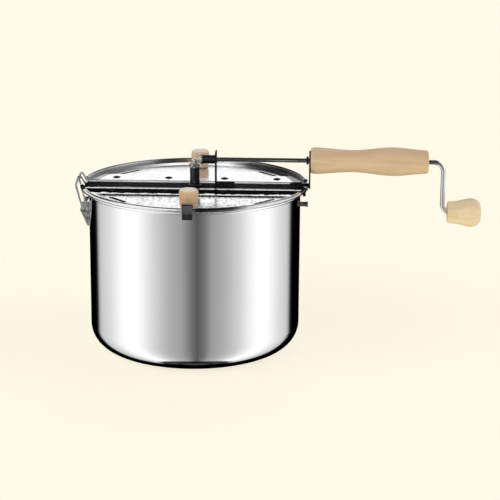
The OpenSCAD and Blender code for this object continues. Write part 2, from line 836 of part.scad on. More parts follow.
// The clip's upper side, from under the knob over the rolled edge to the toe below the pan's rim
function clip_path() =
    let (
        arch_z = lid_top_z + clip_hump_h - clip_arch_r,
        out_r = lid_r + clip_gap + clip_t,
        leg_z = lid_top_z - lid_bead_d - clip_gap,
        nose_r = rim_r + clip_nose_gap + clip_t,
        foot_z = lid_top_z - clip_drop
    )
    concat(
        [for (y = [lid_knob_y - lid_knob_d / 2, lid_dish_r - clip_foot_gap]) [y, lid_panel_top + clip_t]],
        arc([out_r - clip_arch_r - lid_bead_r, arch_z], clip_arch_r, clip_arch_from, 90, 6),
        arc([out_r - clip_arch_r, arch_z], clip_arch_r, 90, 0, 8),
        [[out_r, leg_z], [nose_r, foot_z + clip_toe], [nose_r + clip_toe, foot_z]]
    );

module half_lid_clip() {
    color(steel) difference() {
        translate([-clip_w / 2, 0, 0]) rotate([90, 0, 90]) linear_extrude(clip_w)
            polygon(strip(clip_path(), clip_t));
        translate([0, lid_knob_y, lid_panel_top]) hole_up(clip_t, knob_screw_d);
    }
}

module half_lid_knob() {
    r = lid_knob_d / 2;
    color(wood) difference() {
        translate([0, lid_knob_y, lid_panel_top + clip_t]) rotate_extrude() polygon(concat(
            [[0, 0]],
            [for (i = [0:2]) [r * lid_knob_width_share[i], lid_knob_h * lid_knob_height_share[i]]],
            arc([r - lid_knob_edge_r, lid_knob_h - lid_knob_edge_r], lid_knob_edge_r, 0, 90, 8),
            [[0, lid_knob_h]]
        ));
        translate([0, lid_knob_y, lid_panel_top]) cylinder(h = knob_screw_l, d = knob_screw_d);
    }
}

module half_lid_screw() {
    color(dark_steel) translate([0, lid_knob_y, lid_panel_z]) {
        cylinder(h = knob_screw_l, d = knob_screw_d - 2 * drive_gap);
        mirror([0, 0, 1]) rivet_head(knob_screw_head_d, knob_screw_head_h);
    }
}

module front_lid_plate() {
    at_front() half_lid_plate();
}

module front_hinge_leaves() {
    at_front() half_lid_leaves();
}

module front_leaf_rivets() {
    at_front() half_lid_rivets();
}

module front_lid_clip() {
    at_front() half_lid_clip();
}

module front_lid_knob() {
    at_front() half_lid_knob();
}

module front_knob_screw() {
    at_front() half_lid_screw();
}

module rear_lid_plate() {
    half_lid_plate();
}

module rear_hinge_leaves() {
    half_lid_leaves();
}

module rear_leaf_rivets() {
    half_lid_rivets();
}

module rear_lid_clip() {
    half_lid_clip();
}

module rear_lid_knob() {
    half_lid_knob();
}

module rear_knob_screw() {
    half_lid_screw();
}

// Bevel gears, drawn with the axis along Z, the large end at z = 0 and the small end above it

module gear_outline(turned_by) {
    root_r = gear_pitch_r - gear_dedendum;
    tip_r = gear_pitch_r + gear_addendum;
    pitch = 360 / gear_teeth;
    polygon([
        for (i = [0:gear_teeth - 1])
            for (p = [
                [root_r, -gear_root_share], [tip_r, -gear_tip_share],
                [tip_r, gear_tip_share], [root_r, gear_root_share]
            ])
                p[0] * [cos(turned_by + (i + p[1]) * pitch), sin(turned_by + (i + p[1]) * pitch)]
    ]);
}

module bevel_gear(turned_by, hub_l, hub_d, bore) {
    difference() {
        union() {
            linear_extrude(height = gear_face, scale = (gear_pitch_r - gear_face) / gear_pitch_r)
                gear_outline(turned_by);
            up(-gear_web_t) cylinder(h = gear_web_t + gear_web_sink, r = gear_web_r);
            up(-gear_web_t - hub_l) cylinder(h = hub_l, d = hub_d);
        }
        up(-gear_web_t - hub_l) hole_up(gear_web_t + hub_l + gear_face, bore + 2 * drive_gap);
    }
}

module crank_gear() {
    color(dark_steel) difference() {
        translate([gear_pitch_r, 0, crank_z]) rotate([0, -90, 0])
            bevel_gear(0, crank_hub_l, crank_hub_d, crank_rod_d);
        translate([crank_pin_x, 0, crank_z - crank_hub_d]) cylinder(h = 2 * crank_hub_d, d = gear_pin_d);
    }
}

module stir_gear() {
    color(dark_steel) difference() {
        up(crank_z - gear_pitch_r) bevel_gear(180 / gear_teeth, stir_hub_l, stir_hub_d, shaft_d);
        translate([0, -stir_hub_d, stir_pin_z]) along_y(2 * stir_hub_d, gear_pin_d);
    }
}

module crank_gear_pin() {
    color(steel) translate([crank_pin_x, 0, crank_z - crank_hub_d / 2])
        cylinder(h = crank_hub_d, d = gear_pin_d - 2 * drive_gap);
}

module stir_gear_pin() {
    color(steel) translate([0, -stir_hub_d / 2, stir_pin_z]) along_y(stir_hub_d, gear_pin_d - 2 * drive_gap);
}

// Crank

module crank_rod() {
    start_x = gear_pitch_r - gear_face;
    arm = [crank_arm_x, 0, crank_z];
    foot = [crank_arm_x, 0, crank_z - crank_throw];
    pin_end = [knob_seat_x + knob_washer_t + run_gap, 0, crank_z - crank_throw];
    bends = [0, crank_bend_r, crank_foot_r, 0];
    color(steel) difference() {
        union() {
            bent_wire([[start_x, 0, crank_z], arm, foot, pin_end], bends, crank_rod_d);
            translate(pin_end) along_x(peen_l, peen_d);
        }
        translate([crank_pin_x, 0, crank_z - crank_hub_d]) cylinder(h = 2 * crank_hub_d, d = gear_pin_d);
    }
}

module rod_collar() {
    color(dark_steel) difference() {
        translate([plate_x - plate_gap - collar_on_rod_l, 0, crank_z])
            along_x(collar_on_rod_l, collar_on_rod_d);
        up(crank_z) along_x(plate_x, crank_rod_d + 2 * drive_gap);
    }
}

module knob_washer() {
    color(steel) up(crank_z - crank_throw) difference() {
        translate([knob_seat_x + run_gap, 0, 0]) along_x(knob_washer_t, knob_recess_d - 2 * knob_washer_gap);
        translate([crank_knob_x, 0, 0]) along_x(crank_knob_l, crank_rod_d + 2 * drive_gap);
    }
}

module crank_knob() {
    places = crank_knob_l * crank_knob_place_share;
    radii = [crank_knob_neck_d, crank_knob_neck_d, crank_knob_d] / 2;
    swell_z = places[2];
    dome_h = crank_knob_l - swell_z;
    rim = knob_recess_d / 2 + knob_washer_t;
    outline = concat(
        [[0, 0], [radii[0] - handle_end_r / 2, 0]],
        [for (p = turned(places, radii)) if (p[1] > handle_end_r / 2) p],
        [for (i = [0:turned_steps]) let (a = 90 * i / turned_steps)
            [rim + (radii[2] - rim) * cos(a), swell_z + dome_h * sin(a)]],
        [[0, crank_knob_l]]
    );
    color(wood) translate([crank_knob_x, 0, crank_z - crank_throw]) rotate([0, 90, 0]) difference() {
        rotate_extrude() polygon(outline);
        hole_up(crank_knob_l, crank_rod_d + 2 * run_gap);
        rotate_extrude() polygon([
            [0, -overrun], [knob_mouth_r, -overrun], [knob_mouth_r, 0],
            [crank_rod_d / 2 + run_gap, knob_mouth_l], [0, knob_mouth_l]
        ]);
        up(crank_knob_l - knob_recess_l) cylinder(h = knob_recess_l + overrun, d = knob_recess_d);
    }
}

// Stirrer

module stir_shaft() {
    r = shaft_d / 2;
    shaft_top = crank_z - gear_pitch_r + gear_face + shaft_proud;
    outline = concat(
        [[0, shaft_foot_z], [r, shaft_foot_z]],
        arc([r - shaft_end_r, shaft_top - shaft_end_r], shaft_end_r, 0, 90, 5),
        [[0, shaft_top]]
    );
    color(steel) difference() {
        rotate_extrude() polygon(outline);
        translate([0, -stir_hub_d, stir_pin_z]) along_y(2 * stir_hub_d, gear_pin_d);
        translate([-collar_d, 0, stir_z]) along_x(2 * collar_d, stir_wire_d + 2 * drive_gap);
    }
}

module stir_collar() {
    color(steel) difference() {
        up(shaft_foot_z) cylinder(h = collar_h, d = collar_d);
        cylinder(h = crank_z, d = shaft_d + 2 * drive_gap);
        translate([-collar_d, 0, stir_z]) along_x(2 * collar_d, stir_wire_d + 2 * drive_gap);
        up(collar_screw_z) mirror([0, 1, 0]) along_y(collar_d, collar_screw_d);
    }
}

module collar_screw() {
    color(dark_steel) up(collar_screw_z) intersection() {
        mirror([0, 1, 0]) along_y(collar_d / 2 + collar_screw_proud, collar_screw_d - 2 * drive_gap);
        difference() {
            cylinder(h = 2 * collar_screw_d, d = 2 * collar_d, center = true);
            cylinder(h = 4 * collar_screw_d, d = shaft_d + 2 * drive_gap, center = true);
        }
    }
}

module stir_wire() {
    path = [
        [-stir_reach, 0, stir_z + stir_lift], [-stir_flat, 0, stir_z],
        [-stir_hump_x - stir_hump_w, 0, stir_z], [-stir_hump_x, 0, stir_z + stir_hump_h],
        [-stir_hump_x + stir_hump_w, 0, stir_z], [stir_flat, 0, stir_z], [stir_reach, 0, stir_z + stir_lift]
    ];
    color(steel) bent_wire(path, same(stir_bend_r, len(path)), stir_wire_d);
}

pan();
wall_stud();
latch_ear();
ear_rivets();
latch_bail();
crossbar();
front_hinge_rod();
rear_hinge_rod();
gear_bracket();
handle_plate();
bracket_rivets();
shaft_bush();
handle_grip();
handle_screws();
front_lid_plate();
front_hinge_leaves();
front_leaf_rivets();
front_lid_clip();
front_lid_knob();
front_knob_screw();
rear_lid_plate();
rear_hinge_leaves();
rear_leaf_rivets();
rear_lid_clip();
rear_lid_knob();
rear_knob_screw();
crank_rod();
crank_gear();
crank_gear_pin();
rod_collar();
knob_washer();
crank_knob();
stir_shaft();
stir_gear();
stir_gear_pin();
stir_collar();
stir_wire();
collar_screw();
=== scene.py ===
import math

import bpy
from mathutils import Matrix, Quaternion, Vector


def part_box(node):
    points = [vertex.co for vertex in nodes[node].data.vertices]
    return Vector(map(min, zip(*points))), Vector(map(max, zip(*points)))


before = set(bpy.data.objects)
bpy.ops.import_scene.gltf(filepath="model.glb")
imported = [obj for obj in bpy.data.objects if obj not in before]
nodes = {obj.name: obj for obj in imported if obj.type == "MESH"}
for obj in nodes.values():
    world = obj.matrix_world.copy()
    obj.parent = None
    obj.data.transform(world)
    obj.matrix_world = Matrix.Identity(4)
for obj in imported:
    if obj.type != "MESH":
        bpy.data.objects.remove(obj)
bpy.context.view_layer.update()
scene = bpy.context.scene


# The camera stands a little right of the popper's middle and looks down on the lids by 15 degrees.
# Its place was worked out from the ellipses of the rim and of the pan's foot, its roll from the hinge lines.
camera_place = Vector((0.1128, -1.7351, 0.5794))
camera_target = Vector((0.0587, 0.0, 0.1035))
camera_lens_mm = 121.6
camera_sensor_mm = 36.0
camera_roll = math.radians(0.38)

camera_data = bpy.data.cameras.new("camera")
camera_data.lens = camera_lens_mm
camera_data.sensor_width = camera_sensor_mm
camera = bpy.data.objects.new("camera", camera_data)
camera.location = camera_place
camera.rotation_mode = "QUATERNION"
look = (camera_target - camera_place).to_track_quat("-Z", "Y")
camera.rotation_quaternion = look @ Quaternion((0.0, 0.0, 1.0), camera_roll)
scene.collection.objects.link(camera)
scene.camera = camera
scene.view_settings.view_transform = "Standard"


# The studio is a pale tent: tall soft boxes left and right of the camera, and a dark slot where it stands.
# The paper behind ends in a dark gap, and the tent's top and the corners low behind the popper are black.
def put(tree, kind, inputs=None, **settings):
    """Adds a shader node, sets its options, and feeds its sockets with values or other sockets."""
    node = tree.nodes.new(kind)
    for name, value in settings.items():
        setattr(node, name, value)
    for name, value in (inputs or {}).items():
        if isinstance(value, bpy.types.NodeSocket):
            tree.links.new(value, node.inputs[name])
        else:
            node.inputs[name].default_value = value
    return node


def sum_up(tree, operation, first, second=0.0):
    """One step of arithmetic on sockets or numbers."""
    return put(tree, "ShaderNodeMath", {0: first, 1: second}, operation=operation).outputs[0]


def ramp(tree, factor, stops):
    """A grey ramp through (place, brightness) stops, fed by a socket."""
    node = put(tree, "ShaderNodeValToRGB", {"Fac": factor})
    elements = node.color_ramp.elements
    while len(elements) < len(stops):
        elements.new(1.0)
    for element, (place, tone) in zip(elements, stops):
        element.position = place
        element.color = (tone, tone, tone, 1.0)
    return node.outputs["Color"]


# The colour sockets of a mix node, which has further ones of the same names for numbers and vectors
first_colour, second_colour, mixed_colour = 6, 7, 2


def mix(tree, factor, first, second, **settings):
    """A colour mixed from two others."""
    inputs = {"Factor": factor, first_colour: first, second_colour: second}
    return put(tree, "ShaderNodeMix", inputs, data_type="RGBA", **settings).outputs[mixed_colour]


# Degrees round from the middle of the boxes, and brightness, as the pan's upright wall sees the room
wall_stops = (
    (-180, 0.0), (-143, 0.0), (-137, 0.02), (-131, 0.50), (-126, 0.68), (-108, 0.84), (-93, 1.08),
    (-77, 1.30), (-62, 1.08), (-46, 0.75), (-31, 0.52), (-17, 0.40), (-8, 0.22), (0, 0.112),
    (8, 0.20), (16, 0.38), (30, 0.51), (45, 0.73), (60, 1.05), (76, 1.30),
    (90, 1.06), (105, 0.82), (117, 0.69), (121, 0.50), (127, 0.02), (133, 0.0), (180, 0.0),
)
# Degrees above or below level, and brightness: below the wall's foot, the paper behind, the boxes, the slot
foot_stops = ((-90, 0.0), (-81, 0.0), (-79, 0.05), (-72, 0.05), (-68, 1.0))
nadir_stops = ((-90, 0.05), (-83, 0.05), (-80, 0.0))
paper_stops = ((-90, 1.1), (19, 1.25), (21.5, 0.0), (54, 0.0), (60, 0.02), (90, 0.02))
gap_stops = ((-90, 0.0), (19, 0.0), (21.5, 1.0), (37, 1.0), (40, 0.0))
top_paper_stops = ((-90, 0.0), (37, 0.0), (40, 1.0), (54, 1.0), (60, 0.0))
box_stops = ((-90, 1.25), (50, 1.25), (60, 0.05), (90, 0.02))
slot_stops = ((-90, 0.10), (4, 0.10), (12, 0.04), (90, 0.02))
# Degrees round from the middle of the boxes, and share: where the slot is, and where the paper behind begins
slot_share_stops = ((-24, 0.0), (-10, 1.0), (42, 1.0), (56, 0.0))
paper_share_stops = ((98, 0.0), (114, 1.0))
# Place across, from left to right, and brightness: the gap over the paper, and the paper above that gap
gap_tone_stops = ((-0.14, 0.004), (0.01, 0.015), (0.05, 0.20), (0.09, 0.32))
top_tone_stops = ((-0.42, 0.01), (-0.28, 0.08), (-0.16, 1.25), (0.16, 1.25), (0.28, 0.42), (0.42, 0.25))
boxes_middle = 6.0
# Sines of the rises between which the low part of the room passes into the high part
level_low, level_high = -0.10, -0.01

world = bpy.data.worlds.new("studio")
scene.world = world
world.use_nodes = True
sky = world.node_tree
sky.nodes.clear()
axes = put(
    sky,
    "ShaderNodeSeparateXYZ",
    {"Vector": put(sky, "ShaderNodeTexCoord").outputs["Generated"]},
)
half_turn = math.radians(180)
tilt = Quaternion((0.0, 0.0, 1.0), math.radians(boxes_middle))
to_front = tilt @ Vector((0.0, -1.0, 0.0))
to_right = tilt @ Vector((1.0, 0.0, 0.0))
frontward = sum_up(
    sky,
    "ADD",
    sum_up(sky, "MULTIPLY", axes.outputs["X"], to_front.x),
    sum_up(sky, "MULTIPLY", axes.outputs["Y"], to_front.y),
)
rightward = sum_up(
    sky,
    "ADD",
    sum_up(sky, "MULTIPLY", axes.outputs["X"], to_right.x),
    sum_up(sky, "MULTIPLY", axes.outputs["Y"], to_right.y),
)
turn = sum_up(sky, "ARCTAN2", rightward, frontward)
turn_share = sum_up(sky, "ADD", sum_up(sky, "DIVIDE", turn, 2 * half_turn), 0.5)
away_share = sum_up(sky, "DIVIDE", sum_up(sky, "ABSOLUTE", turn), half_turn)
rise = sum_up(sky, "ARCSINE", axes.outputs["Z"])
rise_share = sum_up(sky, "ADD", sum_up(sky, "DIVIDE", rise, half_turn), 0.5)


def by_rise(stops):
    """Brightness by the height of the direction above level."""
    return ramp(sky, rise_share, [((degrees + 90) / 180, tone) for degrees, tone in stops])


def by_turn(stops):
    """Brightness, or a share, by how far the direction is turned from the middle of the boxes."""
    return ramp(sky, turn_share, [((degrees + 180) / 360, tone) for degrees, tone in stops])


wall_room = by_turn(wall_stops)
low_room = mix(sky, 1.0, wall_room, by_rise(foot_stops), blend_type="MULTIPLY")
low_room = mix(sky, 1.0, low_room, by_rise(nadir_stops), blend_type="ADD")
paper = by_rise(paper_stops)
across_share = sum_up(sky, "ADD", sum_up(sky, "MULTIPLY", axes.outputs["X"], 0.5), 0.5)
for rise_stops, tone_stops in ((gap_stops, gap_tone_stops), (top_paper_stops, top_tone_stops)):
    tones = ramp(sky, across_share, [(0.5 + place / 2, tone) for place, tone in tone_stops])
    strip = mix(sky, 1.0, tones, by_rise(rise_stops), blend_type="MULTIPLY")
    paper = mix(sky, 1.0, paper, strip, blend_type="ADD")
slot_share = by_turn(slot_share_stops)
paper_share = ramp(sky, away_share, [(degrees / 180, share) for degrees, share in paper_share_stops])
high_room = mix(sky, slot_share, by_rise(box_stops), by_rise(slot_stops))
high_room = mix(sky, paper_share, high_room, paper)
level = put(
    sky,
    "ShaderNodeMapRange",
    {"Value": axes.outputs["Z"], "From Min": level_low, "From Max": level_high},
    interpolation_type="SMOOTHSTEP",
)
room = mix(sky, level.outputs[0], low_room, high_room)
glow = put(sky, "ShaderNodeBackground", {"Color": room, "Strength": 1.0})
put(sky, "ShaderNodeOutputWorld", {"Surface": glow.outputs[0]})


# The table is a lit cream sheet, matt, and wide enough to fill the whole picture, with no horizon.
# A wide overhead light and a weaker one from the camera's side fill the wood; bright steel mirrors neither.
table_reach = 12.0
table_colour = (0.46, 0.45, 0.38)
table_glow = (0.684, 0.646, 0.538)
fills = (
    ("overhead_fill", (0.0, 0.0, 1.0), 150, 0.60),
    ("front_fill", (0.25, -1.0, 0.35), 60, 0.30),
)

table_mesh = bpy.data.meshes.new("table")
table_mesh.from_pydata(
    [(x * table_reach, y * table_reach, 0.0) for x, y in ((-1, -1), (1, -1), (1, 1), (-1, 1))],
    [],
    [(0, 1, 2, 3)],
)
table = bpy.data.objects.new("table", table_mesh)
scene.collection.objects.link(table)
table.visible_glossy = False
table_finish = bpy.data.materials.new("lit_cream_sheet")
table_finish.use_nodes = True
sheet = table_finish.node_tree
sheet.nodes.clear()
sheet_matt = put(sheet, "ShaderNodeBsdfDiffuse", {"Color": (*table_colour, 1.0)})
sheet_light = put(sheet, "ShaderNodeEmission", {"Color": (*table_glow, 1.0), "Strength": 1.0})
sheet_face = put(sheet, "ShaderNodeAddShader", {0: sheet_matt.outputs[0], 1: sheet_light.outputs[0]})
put(sheet, "ShaderNodeOutputMaterial", {"Surface": sheet_face.outputs[0]})
table_mesh.materials.append(table_finish)

for fill_name, from_where, spread_degrees, strength in fills:
    fill_data = bpy.data.lights.new(fill_name, "SUN")
    fill_data.angle = math.radians(spread_degrees)
    fill_data.energy = strength
    fill = bpy.data.objects.new(fill_name, fill_data)
    fill.rotation_mode = "QUATERNION"
    fill.rotation_quaternion = Vector(from_where).to_track_quat("Z", "Y")
    fill.visible_glossy = False
    scene.collection.objects.link(fill)


# The pan is drawn from stainless sheet and polished bright, with faint rings from the buffing wheel.
# Its rim is rolled outwards over a wire, and the corner above its foot is one wide round bend.
def finish(name):
    """A new material: its tree, its coordinates in metres, and its principled shader."""
    material = bpy.data.materials.new(name)
    material.use_nodes = True
    tree = material.node_tree
    tree.nodes.clear()
    place = put(tree, "ShaderNodeTexCoord").outputs["Object"]
    shader = put(tree, "ShaderNodeBsdfPrincipled")
    put(tree, "ShaderNodeOutputMaterial", {"Surface": shader.outputs[0]})
    return material, tree, place, shader


def noise(tree, place, size, stretch=(1, 1, 1), detail=3.0):
    """Noise whose blotches are about size metres across, drawn out by stretch along X, Y and Z."""
    scaled = put(
        tree,
        "ShaderNodeMapping",
        {"Vector": place, "Scale": tuple(1.0 / (size * s) for s in stretch)},
    )
    return put(
        tree, "ShaderNodeTexNoise", {"Vector": scaled.outputs[0], "Scale": 1.0, "Detail": detail}
    ).outputs["Fac"]


def spread(tree, factor, low, high, from_low=0.3, from_high=0.7):
    """Stretches a noise to the range from low to high."""
    return put(
        tree,
        "ShaderNodeMapRange",
        {"Value": factor, "From Min": from_low, "From Max": from_high, "To Min": low, "To Max": high},
    ).outputs[0]


def tint(tree, factor, dark, light):
    """A colour between dark and light."""
    return mix(tree, factor, (*dark, 1.0), (*light, 1.0))


def relief(tree, shader, height, depth, under_relief=None):
    """Bump of depth metres on the shader, on top of another bump if there is one."""
    inputs = {"Height": height, "Distance": depth, "Strength": 1.0}
    if under_relief is not None:
        inputs["Normal"] = under_relief
    normal = put(tree, "ShaderNodeBump", inputs).outputs[0]
    if shader.inputs["Normal"].is_linked:
        tree.links.remove(shader.inputs["Normal"].links[0])
    tree.links.new(normal, shader.inputs["Normal"])
    return normal


def round_the_axis(tree, place):
    """Coordinates that run round the Z axis, out from it and up it."""
    parts = put(tree, "ShaderNodeSeparateXYZ", {"Vector": place})
    angle = sum_up(tree, "ARCTAN2", parts.outputs["Y"], parts.outputs["X"])
    flat = put(tree, "ShaderNodeCombineXYZ", {"X": parts.outputs["X"], "Y": parts.outputs["Y"]})
    out = put(tree, "ShaderNodeVectorMath", {0: flat.outputs[0]}, operation="LENGTH")
    return put(
        tree,
        "ShaderNodeCombineXYZ",
        {"X": angle, "Y": out.outputs["Value"], "Z": parts.outputs["Z"]},
    ).outputs[0]


def dress(material, *names):
    """Puts a finish on CAD nodes, in place of the one that they came with."""
    for name in names:
        node = nodes[name]
        node.data.materials.clear()
        node.data.materials.append(material)


pan_tones = ((0.82, 0.82, 0.83), (0.88, 0.88, 0.885))
pan_rough = (0.03, 0.06)
pan_haze_size = 0.045
buffing_pitch = 0.0009
buffing_run = 900
buffing_depth = 0.0000012

pan_finish, tree, place, shader = finish("pan_bright_steel")
shader.inputs["Metallic"].default_value = 1.0
rings = noise(tree, round_the_axis(tree, place), buffing_pitch, (buffing_run, 1, 1), 2.0)
haze = noise(tree, place, pan_haze_size, (1, 1, 1.6), 4.0)
tree.links.new(tint(tree, haze, *pan_tones), shader.inputs["Base Color"])
tree.links.new(spread(tree, haze, *pan_rough), shader.inputs["Roughness"])
relief(tree, shader, rings, buffing_depth)
dress(pan_finish, "pan")


# The ear is folded from bright steel sheet and riveted to the wall; buffing it left upright streaks.
# The stud at the other side is turned from plain steel, dulled to a grey brown, and riveted too.
def metal(name, tones, blotch_size, rough, grain_size, grain_depth, stretch=(1, 1, 1), sheen=1.0):
    """Steel with soft blotches of colour, and a grain that changes its roughness and relief."""
    material, tree, place, shader = finish(name)
    shader.inputs["Metallic"].default_value = 1.0
    shader.inputs["Specular Tint"].default_value = (sheen, sheen, sheen, 1.0)
    blotch = noise(tree, place, blotch_size, (1, 1, 1), 4.0)
    grain = noise(tree, place, grain_size, stretch, 3.0)
    tree.links.new(tint(tree, spread(tree, blotch, 0.0, 1.0), *tones), shader.inputs["Base Color"])
    tree.links.new(spread(tree, grain, *rough), shader.inputs["Roughness"])
    relief(tree, shader, grain, grain_depth)
    return material


ear_finish = metal(
    "ear_bright_steel",
    tones=((0.14, 0.14, 0.145), (0.90, 0.90, 0.91)),
    blotch_size=0.0045,
    rough=(0.05, 0.16),
    grain_size=0.0012,
    stretch=(1, 1, 14),
    grain_depth=0.00006,
)
stud_finish = metal(
    "stud_dull_steel",
    tones=((0.16, 0.155, 0.13), (0.34, 0.33, 0.28)),
    blotch_size=0.003,
    rough=(0.30, 0.48),
    grain_size=0.0005,
    grain_depth=0.00001,
)
dress(ear_finish, "latch_ear", "ear_rivets")
dress(stud_finish, "wall_stud")


# Both half lids are pressed from bright sheet: a flat land, a shallow dish, a leaning wall, a rolled edge.
# The dish is wavy, its crinkles' dips painted darker as painted shade, and crinkled more in front, where a
# fold with a ragged edge follows the hinge, painted dark as painted shade.
# A ring round the rear dish is painted dark as a painted reflection, and so is the front lid's rolled edge
# beside its clip.
edge_round = 0.0010
lid_tones = ((0.84, 0.84, 0.85), (0.90, 0.90, 0.905))
lid_rough = (0.14, 0.24)
lid_haze_size = 0.03
wave_size = 0.024
crinkle_size = 0.0034
# Range of the crinkle noise over which the dish is painted darker in the crinkles' dips: painted shade
crinkle_shade_range = (0.36, 0.54)
fold_from = 0.0212
fold_to = 0.0420
fold_rag_size = 0.009
fold_raggedness = 0.0035
fold_start_fade = 0.0005
fold_end_fade = 0.0010
# Painted shade along the front lid's hinge fold, dimming both its colour and its reflection
fold_painted_shade = (0.16, 0.16, 0.16)
white = (1.0, 1.0, 1.0, 1.0)
# Radii of the dish, of the flat flange round it and of the rolled edge
dish_r = 0.1042
flange_r = 0.1176
bead_r = 0.1240
# The ring of each lid painted dark as a painted reflection: its radii, and (place across the lid, share of
# painted darkening) from left to right
rear_painted_ring = (
    (dish_r, flange_r),
    ((-0.122, 0.68), (-0.060, 0.52), (-0.030, 0.0), (0.030, 0.0), (0.055, 0.90), (0.122, 1.0)),
)
front_painted_ring = (
    (flange_r, bead_r),
    (
        (-0.122, 0.25), (-0.020, 0.10), (0.004, 0.10), (0.010, 0.93), (0.044, 0.86), (0.060, 0.30),
        (0.122, 0.25),
    ),
)
# Colour of the rings' painted dark reflection
ring_painted_reflection = (0.05, 0.05, 0.05)
ring_fade = 0.0006
lid_reach = 0.125


def lid_steel(name, wave_depth, crinkle_depth, crinkle_shade_tone, fold_depth, ring):
    """Bright sheet, wavy, with creases rounded as by a press, crinkle dips painted darker as painted shade,
    a fold along the hinge painted dark as painted shade, and a ring painted dark as a painted reflection.
    """
    material, tree, place, shader = finish(name)
    shader.inputs["Metallic"].default_value = 1.0
    waves = noise(tree, place, wave_size, (1.6, 1, 1), 1.0)
    crinkle = noise(tree, place, crinkle_size, (1, 2, 1), 2.0)
    haze = noise(tree, place, lid_haze_size, (1, 1, 1), 4.0)
    parts = put(tree, "ShaderNodeSeparateXYZ", {"Vector": place})
    behind_edge = sum_up(tree, "MULTIPLY", parts.outputs["Y"], -1.0)
    rag = spread(tree, noise(tree, place, fold_rag_size), -fold_raggedness, fold_raggedness)
    ragged = sum_up(tree, "ADD", behind_edge, rag)
    started = spread(tree, behind_edge, 0.0, 1.0, fold_from, fold_from + fold_start_fade)
    ended = spread(tree, ragged, 1.0, 0.0, fold_to - fold_end_fade, fold_to + fold_end_fade)
    in_fold_painted_shade = sum_up(tree, "MULTIPLY", started, ended)
    out = put(tree, "ShaderNodeSeparateXYZ", {"Vector": round_the_axis(tree, place)}).outputs["Y"]
    # Inside the dish the crinkles' dips are painted darker: painted shade
    crinkle_painted_shade = tint(tree, spread(tree, crinkle, 0.0, 1.0, *crinkle_shade_range), (crinkle_shade_tone,) * 3, lid_tones[1])
    plain = tint(tree, haze, *lid_tones)
    bright = mix(tree, spread(tree, out, 0.0, 1.0, dish_r, dish_r + ring_fade), crinkle_painted_shade, plain)
    (inner, outer), ring_stops = ring
    in_painted_ring = sum_up(
        tree,
        "MULTIPLY",
        spread(tree, out, 0.0, 1.0, inner, inner + ring_fade),
        spread(tree, out, 1.0, 0.0, outer, outer + ring_fade),
    )
    side = ramp(
        tree,
        spread(tree, parts.outputs["X"], 0.0, 1.0, -lid_reach, lid_reach),
        [(0.5 + x / (2 * lid_reach), share) for x, share in ring_stops],
    )
    # The rings are painted dark: a painted reflection
    ring_painted_dark = mix(tree, sum_up(tree, "MULTIPLY", in_painted_ring, side), bright, (*ring_painted_reflection, 1.0))
    # The fold along the hinge is painted dark in colour and in reflection: painted shade
    tree.links.new(mix(tree, in_fold_painted_shade, ring_painted_dark, (*fold_painted_shade, 1.0)), shader.inputs["Base Color"])
    tree.links.new(mix(tree, in_fold_painted_shade, white, (*fold_painted_shade, 1.0)), shader.inputs["Specular Tint"])
    tree.links.new(spread(tree, haze, *lid_rough), shader.inputs["Roughness"])
    fold = spread(tree, behind_edge, 1.0, 0.0, fold_from, fold_to)
    pressed = put(tree, "ShaderNodeBevel", {"Radius": edge_round}, samples=6).outputs[0]
    folded = relief(tree, shader, fold, fold_depth, pressed)
    relief(tree, shader, crinkle, crinkle_depth, relief(tree, shader, waves, wave_depth, folded))
    return material


dress(
    lid_steel(
        "front_lid_bright_steel",
        wave_depth=0.00030, crinkle_depth=0.00018, crinkle_shade_tone=0.45, fold_depth=0.0010, ring=front_painted_ring,
    ),
    "front_lid_plate",
)
dress(
    lid_steel(
        "rear_lid_bright_steel",
        wave_depth=0.00018, crinkle_depth=0.00003, crinkle_shade_tone=0.80, fold_depth=0.0, ring=rear_painted_ring,
    ),
    "rear_lid_plate",
)


# The crossbar is folded from dark, dull steel sheet, with its long edges rolled into hinge barrels.
# A bright line is painted along each barrel and the knuckles between its stretches: a painted highlight.
bar_tones = ((0.045, 0.045, 0.048), (0.095, 0.095, 0.10))
bar_rough = (0.24, 0.40)
bar_sheen = (0.22, 0.22, 0.22, 1.0)
bar_blotch_size = 0.02
bar_grain_size = 0.0006
bar_grain_run = 60
bar_grain_depth = 0.000006
# Where the bright lines of painted highlight lie across the bar and above which height, their fade, colour
# and break-up by noise
highlight_lines = ((-0.0175, -0.0155), (0.0098, 0.0160))
highlight_fade = 0.0003
highlight_floor = 0.1732
highlight_painted_tone = (0.90, 0.90, 0.90, 1.0)
highlight_break_size = 0.012
highlight_break_share = (0.65, 1.0)

bar_finish, tree, place, shader = finish("bar_dull_steel")
shader.inputs["Metallic"].default_value = 1.0
grain = noise(tree, place, bar_grain_size, (bar_grain_run, 1, 1), 3.0)
blotch = noise(tree, place, bar_blotch_size, (3, 1, 1), 4.0)
highlight_break = noise(tree, place, highlight_break_size, (2, 1, 1), 3.0)
parts = put(tree, "ShaderNodeSeparateXYZ", {"Vector": place})
on_top = spread(tree, parts.outputs["Z"], 0.0, 1.0, highlight_floor, highlight_floor + highlight_fade)
in_lines = 0.0
for low_side, high_side in highlight_lines:
    rising = spread(tree, parts.outputs["Y"], 0.0, 1.0, low_side - highlight_fade, low_side)
    falling = spread(tree, parts.outputs["Y"], 1.0, 0.0, high_side, high_side + highlight_fade)
    in_lines = sum_up(tree, "ADD", sum_up(tree, "MULTIPLY", rising, falling), in_lines)
on_lines = sum_up(tree, "MULTIPLY", in_lines, on_top)
